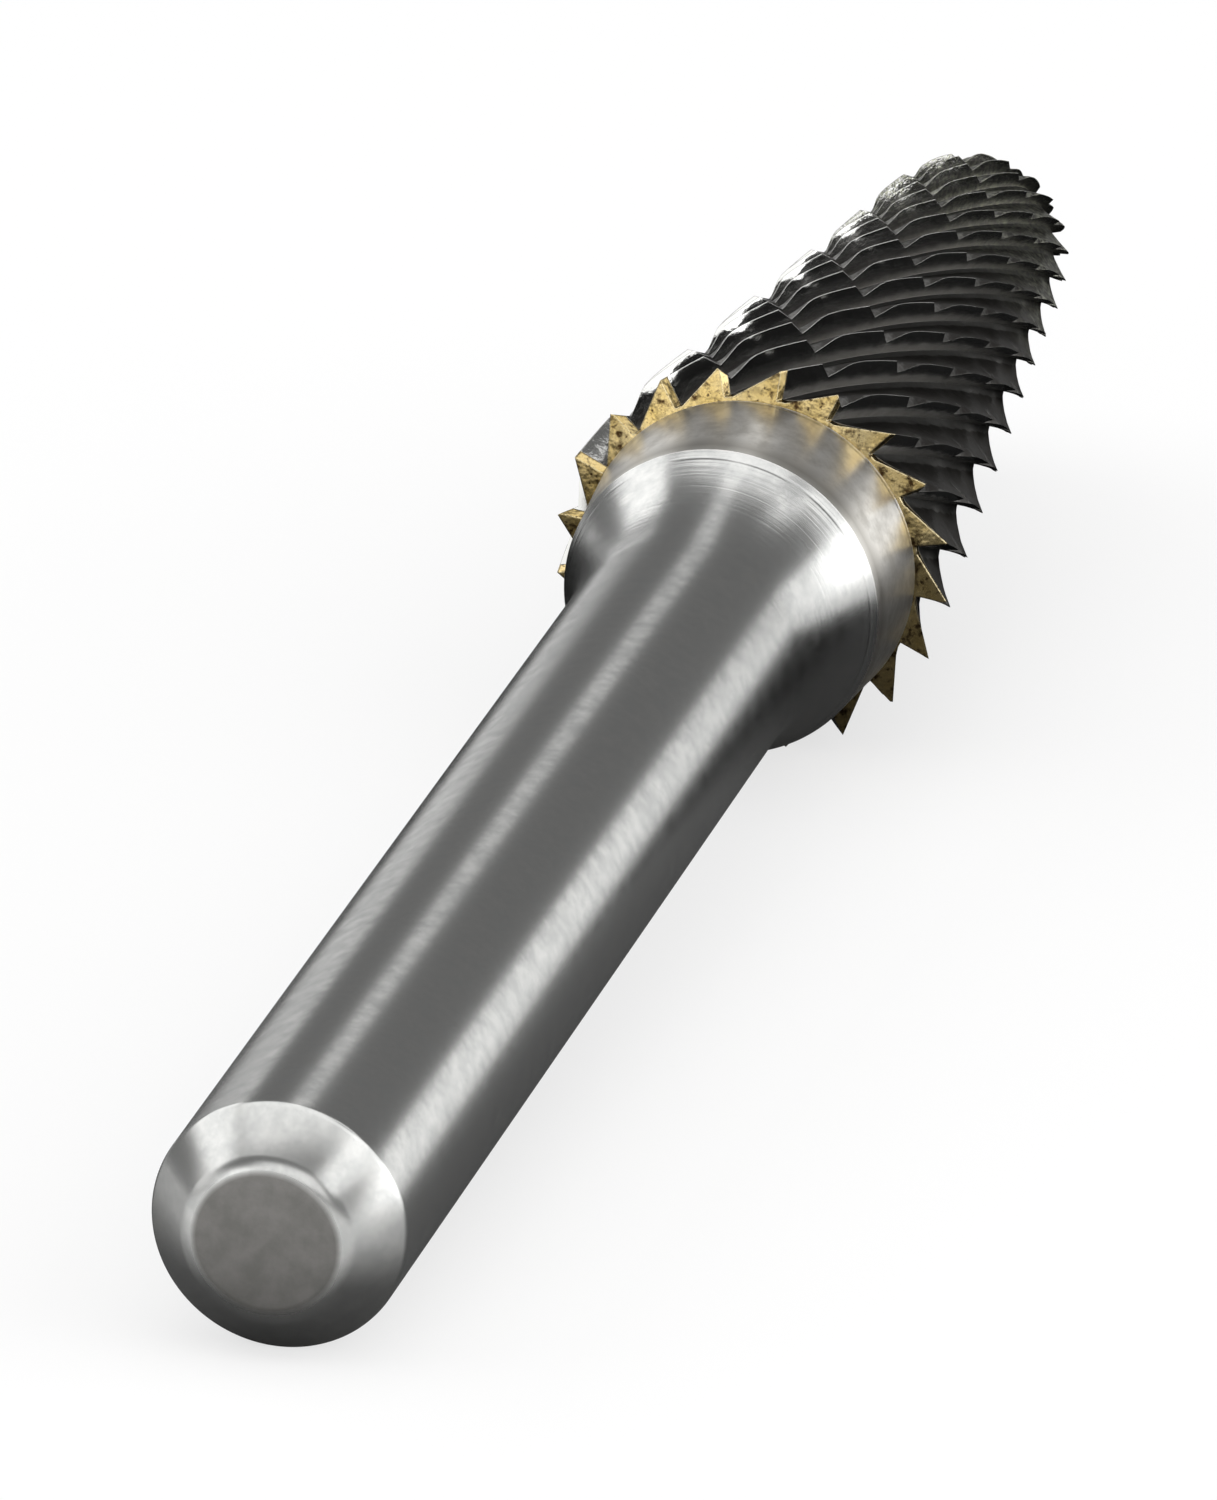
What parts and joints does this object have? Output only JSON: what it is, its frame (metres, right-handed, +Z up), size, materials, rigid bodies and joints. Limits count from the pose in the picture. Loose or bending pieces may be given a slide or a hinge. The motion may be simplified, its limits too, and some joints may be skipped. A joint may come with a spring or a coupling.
{
  "type": "carbide burr",
  "caption": "Rotary burr with a straight round shank, a flared collar and a ball-nosed cone head of crossed spiral teeth.",
  "frame": {"origin": "centre of the shank's flat free end", "axes": "+Z up off the table; +X along the burr from the shank to the nose, which rises 2.53 degrees because the tool lies on the rim of the shank and on two teeth"},
  "size_m": [0.0703, 0.0098, 0.0098],
  "materials": {
    "shank_steel": "turned and ground steel with fine streaks along the shank",
    "braze": "ground brass-coloured braze with brown specks",
    "carbide": "ground dark grey sintered carbide"
  },
  "bodies": {
    "root": {"shank": "shank_steel", "braze_layer": "braze", "carbide_head": "carbide"}
  },
  "joints": []
}
